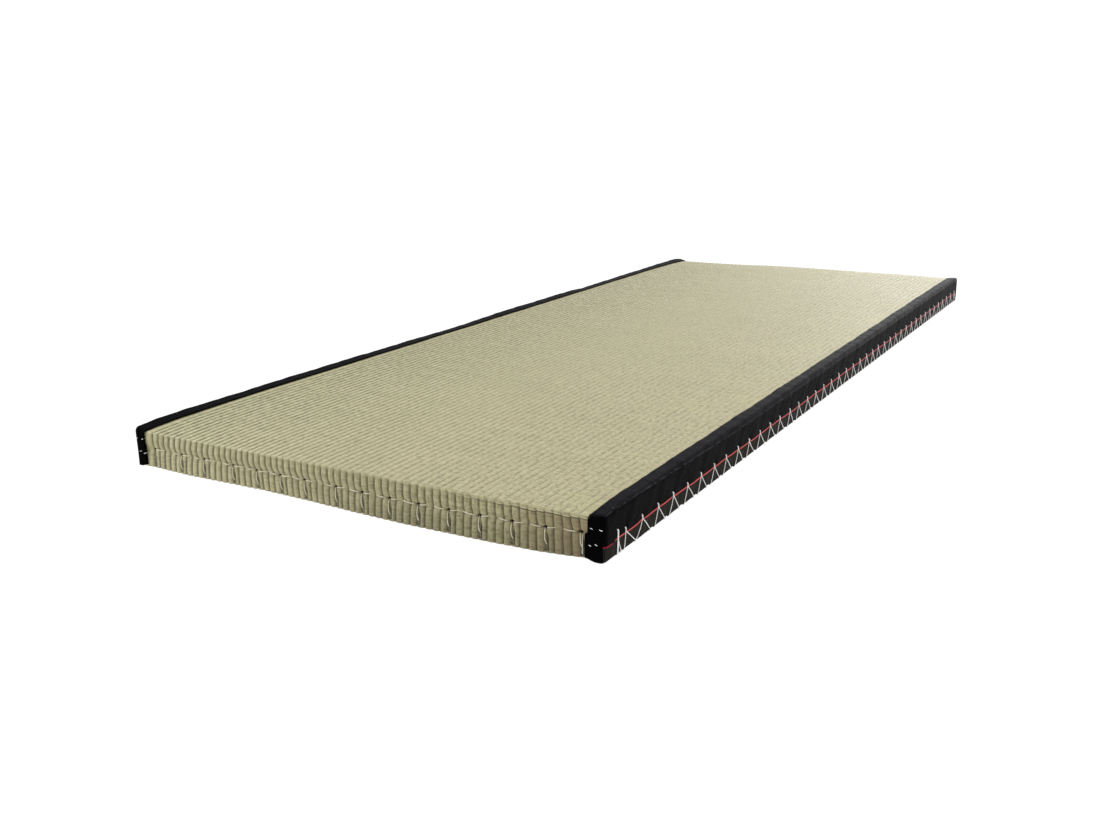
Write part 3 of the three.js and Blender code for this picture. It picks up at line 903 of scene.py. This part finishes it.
def thread_tree():
    """Geometry Nodes: two-ply twisted thread along drawn lines."""
    tree, given, result = new_tree("twisted_thread", (
        ("Diameter", "Float", SIDE_THREAD),
        ("Ply Shape", "Float", 0.68),
        ("Turn Length", "Float", 5.2 * MM),
        ("Step", "Float", 0.9 * MM),
        ("Thread", "Material", None),
    ))
    curve = output(tree, "GeometryNodeMeshToCurve", given["Geometry"])
    curve = output(tree, "GeometryNodeCurveSplineType", curve, spline_type="CATMULL_ROM")
    finer = add(tree, "GeometryNodeSetSplineResolution", curve)
    feed(finer, {"Resolution": 8})
    even = add(tree, "GeometryNodeResampleCurve", finer.outputs[0], mode="LENGTH")
    feed(even, {"Length": given["Step"]})
    along = Output(tree, add(tree, "GeometryNodeSplineParameter").outputs["Length"])
    twisted = add(tree, "GeometryNodeSetCurveTilt", even.outputs[0])
    feed(twisted, {"Tilt": along / given["Turn Length"] * (2 * math.pi)})
    ring = add(tree, "GeometryNodeCurvePrimitiveCircle", 8)
    feed(ring, {"Radius": given["Diameter"] * 0.5})
    profile = add(tree, "GeometryNodeTransform", ring.outputs[0])
    feed(profile, {"Scale": output(tree, "ShaderNodeCombineXYZ", 1, given["Ply Shape"], 1)})
    tube = add(tree, "GeometryNodeCurveToMesh", twisted.outputs[0], profile.outputs[0])
    feed(tube, {"Fill Caps": True})
    smooth = output(tree, "GeometryNodeSetShadeSmooth", tube.outputs[0])
    end_tree(tree, smooth, given["Thread"], result)
    return tree


def thread_material(name, light, dark):
    """Undyed twisted cotton, a little soiled."""
    material, tree, shader = new_material(name)
    place = add(tree, "ShaderNodeTexCoord").outputs["Object"]
    soil = output(tree, "ShaderNodeTexNoise", place, None, 90, 3)
    fibre = output(tree, "ShaderNodeTexNoise", place, None, 2400, 1)
    colour = layered(light, (soil.spread(0.35, 0.7), dark))
    feed(shader, {"Base Color": colour, "Roughness": 0.8, "Sheen Weight": 0.15})
    set_bump(shader, fibre, 0.4, 0.2 * MM)
    return material


def sewn_thread(name, lines, material, **sizes):
    """Thread along several lines, as one piece."""
    points, edges = [], []
    for line in lines:
        start = len(points)
        points += list(line)
        edges += [(start + step, start + step + 1) for step in range(len(line) - 1)]
    made = made_by_nodes(mesh_object(name, points, [], edges), twisted_thread, thread=material, **sizes)
    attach(made, "root")


def side_thread_lines(side, seed):
    """Both legs of every side stitch, from under the hem up to its hole. The first has two more strands."""
    random = np.random.default_rng(seed)
    first_left, first_top, _ = stitches[0]
    legs = [(first_left + aside, first_top + aside - LEGS_APART, STITCH_TOP + SECOND_STRAND_PEAK, 0.2 * MM)
            for aside in (1 * MM, 2 * MM)]
    for count, (left, top, right) in enumerate(stitches):
        peak = STITCH_TOP + (FIRST_PEAK if count == 0 else random.normal(0, PEAK_SPREAD))
        bend = FIRST_BENDS[count] if count < len(FIRST_BENDS) else random.normal(BEND, BEND_SPREAD)
        legs.append((left, top - LEGS_APART, peak, bend * MM))
        right_peak = peak - (SHORT_LEG if count == 0 else 0)
        legs.append((right, top + LEGS_APART, right_peak, random.normal(0, RIGHT_SPREAD)))
    lines = []
    for foot, top, peak, bend in legs:
        knee = peak - 5 * MM
        out = half_width + 0.4 * MM
        heights = np.array([2.6 * MM, 9 * MM, 17 * MM, knee])
        share = (heights - heights[0]) / (knee - heights[0])
        along = foot + share * (top - foot) + bend * np.sin(math.pi * share)
        line = [(half_width - 4 * MM, foot, 1 * MM), (half_width - 0.9 * MM, foot, 1.2 * MM)]
        line += [(out, y, z) for y, z in zip(along, heights)]
        line += [(out, top, peak - 1.6 * MM), (half_width - 0.5 * MM, top, peak),
                 (half_width - 2.5 * MM, top, peak + 0.3 * MM)]
        lines.append([(side * x, y, z) for x, y, z in line])
    return lines


twisted_thread = thread_tree()
white_thread = thread_material("white_thread", (0.98, 0.975, 0.96), (0.91, 0.905, 0.88))
sewn_thread("side_stitches_right", side_thread_lines(1, 5), white_thread, diameter=SIDE_THREAD)
sewn_thread("side_stitches_left", side_thread_lines(-1, 6), white_thread, diameter=SIDE_THREAD)


# End seams: thicker cream thread along the middle of each end. It runs from hole to hole over the ribs, dips
# behind one on its way, and a strand goes down from each hole to draw the cover against the mat's lower edge.
SEAM_THREAD = 1.8 * MM
RUN_RISE, RUN_SPREAD = 2, 0.25  # how far over its holes a run goes, in mm
# In ribs, at two places across the mat: how far past a hole a run dips, and how far before the next it shows.
DIP_PLACES, DIP_RIBS, SHOW_RIBS = (-0.3, 0.3), (2, 1.3), (1.65, 1.8)
DIP_SPREAD, SHOW_SPREAD = 0.1, 0.12
# The strand below a hole, and the one by the last, in mm: to its right, out from the ribs, over the seam.
STRAND = ((-1.8, -4.5, -1.2), (-0.1, -1.2, -2.5), (0.2, -0.1, -4.4), (0.3, 0, -9), (0.6, -0.3, -14),
          (1.4, -1.2, -18.5), (2.2, -3.5, -22))
LAST_STRAND = ((3, -3, -2), (3, -0.4, -4), (3.2, 0.4, -12), (3, 0.4, -21), (2.2, 0.2, -26), (1.6, -1.5, -28))


def end_seam_lines(end, seed):
    """The level runs between the holes of one end seam, and the strands below the holes."""
    random = np.random.default_rng(seed)
    lines = []

    def line(*points):
        """A line from places across the mat, each with mm to its right, out from the ribs, over the seam."""
        drawn = []
        for place, *offsets in points:
            aside, out, rise = np.array(offsets) * MM
            x = place + aside
            seam = across_end(x, SEAM_HEIGHTS)
            crest = mat_half_length + stand_out(x, seam + rise) - drawn_in(rise)
            drawn.append((x + drift(x), end * (crest + out), seam + rise))
        lines.append(drawn)

    for start, finish in zip(loop_places[:-1], loop_places[1:]):
        top = RUN_RISE + random.normal(0, RUN_SPREAD)
        dive = start + rib_pitch * (np.interp(start, DIP_PLACES, DIP_RIBS) + random.normal(0, DIP_SPREAD))
        again = finish - rib_pitch * (np.interp(start, DIP_PLACES, SHOW_RIBS) + random.normal(0, SHOW_SPREAD))
        line((start, 2, -5, 0.2), (start, 3.4, -0.9, 0.4), (start + 0.55 * rib_pitch, 0, 0.8, 0.9),
             (dive - 0.45 * rib_pitch, 0, 0.8, top - 0.3), (dive, 0, -1.2, top), (dive, 1.4, -4, top))
        line((again, -1.5, -4, top + 0.3), (again, 0, -0.7, top),
             (again + 0.5 * rib_pitch, 0, 0.8, top - 0.4),
             (finish, -8.2, 0.6, 1), (finish, -6, -0.3, 0.6), (finish, -5.8, -4, 0.4))
        line(*((finish, *point) for point in STRAND))
    line(*((loop_places[-1], *point) for point in LAST_STRAND))
    return lines


cream_thread = thread_material("cream_thread", (0.82, 0.77, 0.58), (0.66, 0.60, 0.42))
sewn_thread("end_seam_front", end_seam_lines(-1, 8), cream_thread, diameter=SEAM_THREAD)
sewn_thread("end_seam_rear", end_seam_lines(1, 9), cream_thread, diameter=SEAM_THREAD)


# Flap stitches: four short stitches of the white thread, sewn through each flap at the ends of the borders.
# They hold it to the end of the mat, two high up and two lower down.
FLAP_STITCHES = ((17.8, 42.9), (5.9, 42.9), (20, 20.9), (11.6, 23.2))  # in from the side and up, in mm
FLAP_STITCH_LENGTH, FLAP_STITCH_FALL = 4 * MM, 1.5 * MM
FLAP_THREAD, FLAP_THREAD_STEP = 1.2 * MM, 0.6 * MM
FLAP_STITCH_BOW = ((-1, -2.6), (-0.8, -0.5), (0, 0.1), (0.8, -0.5), (1, -2.6))  # half-lengths, mm out
CORNERS = ((-1, -1), (1, -1), (1, 1), (-1, 1))


def flap_stitch_lines():
    """Every flap stitch, at all four corners of the mat."""
    face = half_length + FLAP_PROUD
    lines = []
    for side, end in CORNERS:
        for inset, height in FLAP_STITCHES:
            middle = half_width - inset * MM
            lines.append([(side * (middle + share * FLAP_STITCH_LENGTH / 2), end * (face + out * MM),
                           height * MM - share * FLAP_STITCH_FALL / 2) for share, out in FLAP_STITCH_BOW])
    return lines


sewn_thread("flap_stitches", flap_stitch_lines(), white_thread, diameter=FLAP_THREAD, step=FLAP_THREAD_STEP)


# Floor and light: a pale floor that glows and has no edge in view, and a surround that is weaker from the
# front but white along the horizon. Soft light falls from the left, a small light stands by the left front
# corner, a low one at the right and a broad one behind the mat.
FLOOR_HALF, FLOOR_DROP = 60, 0.1 * MM
floor_points = [(x * FLOOR_HALF, y * FLOOR_HALF, -FLOOR_DROP) for x, y in CORNERS]
floor = mesh_object("floor", floor_points, [(0, 1, 2, 3)])
floor_paint, _, floor_shader = new_material("floor_paint")
feed(floor_shader, {"Base Color": (0.08, 0.08, 0.08), "Roughness": 0.9, "Specular IOR Level": 0.1,
                    "Emission Color": (1, 1, 1), "Emission Strength": 0.97})
floor.data.materials.append(floor_paint)

BRIGHT_SIDE = (-0.35, 0.6, 0.7)  # the way to the bright part of the surround
FRONT_GLOW, BACK_GLOW, HORIZON_GLOW = 0.13, 1.1, 1
HORIZON_TOP, HORIZON_FADE = 0.13, 0.17  # how far the white band goes up
world = bpy.data.worlds.new("studio")
world.use_nodes = True
surround = world.node_tree
ray = add(surround, "ShaderNodeTexCoord").outputs["Generated"]
toward = add(surround, "ShaderNodeVectorMath", ray, BRIGHT_SIDE, operation="DOT_PRODUCT").outputs["Value"]
glow = Output(surround, toward).spread(-0.5, 0.5, FRONT_GLOW, BACK_GLOW)
ray_rise = Output(surround, add(surround, "ShaderNodeSeparateXYZ", ray).outputs[2])
horizon = ray_rise.spread(HORIZON_TOP, HORIZON_FADE, HORIZON_GLOW, 0)
feed(surround.nodes["Background"], {"Color": (1, 1, 1), "Strength": glow.calc("MAXIMUM", horizon)})
bpy.context.scene.world = world
bpy.context.scene.view_settings.view_transform = "Standard"


def place_light(name, kind, place, aim, power, **settings):
    """A light at a place, turned to its aim."""
    data = bpy.data.lights.new(name, kind)
    data.energy = power
    for key, value in settings.items():
        setattr(data, key, value)
    light = bpy.data.objects.new(name, data)
    light.location = place
    light.rotation_euler = (Vector(aim) - Vector(place)).to_track_quat("-Z", "Y").to_euler()
    bpy.context.scene.collection.objects.link(light)


place_light("left_light", "SUN", (-3, 0.6, 2.2), (0, 0, 0), 1.1, angle=math.radians(25))
place_light("corner_light", "AREA", (-1.3, -1.9, 0.8), (-0.3, -0.95, 0), 10.5, size=0.8)
place_light("side_light", "AREA", (3.2, 0.7, 0.5), (0.4, 0.3, 0.03), 20, size=2)
place_light("back_light", "AREA", (0.5, 4.6, 1.1), (0.2, 0.6, 0), 85, size=3)
